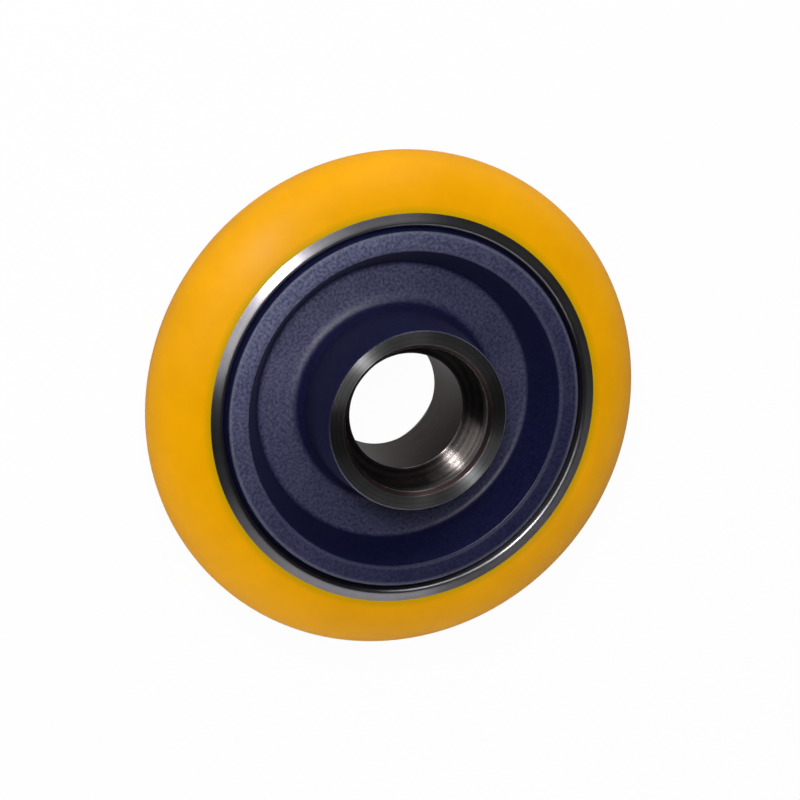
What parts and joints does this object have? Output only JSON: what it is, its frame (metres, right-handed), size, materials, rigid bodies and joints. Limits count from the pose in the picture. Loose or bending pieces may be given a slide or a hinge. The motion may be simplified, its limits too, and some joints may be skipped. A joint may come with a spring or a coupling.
{
  "type": "forklift load wheel",
  "caption": "Load wheel with a crowned tread on a steel band, a dished cast centre and a hub with a bearing seat at each end.",
  "frame": {"origin": "the middle of the wheel's width, on its axis", "axes": "+Z along the wheel's axis, out of the front face that the picture shows; the wheel lies on the other end of its hub"},
  "size_m": [0.25, 0.25, 0.083],
  "materials": {
    "tread": "smooth satin cast polyurethane, orange yellow",
    "steel_band": "bare steel with fine turning marks",
    "wheel_centre": "dark blue paint over a cast skin, bare and turned at the hub ends and in the bores"
  },
  "bodies": {
    "root": {"tread": "tread", "steel_band": "steel_band", "wheel_centre": "wheel_centre"}
  },
  "joints": []
}
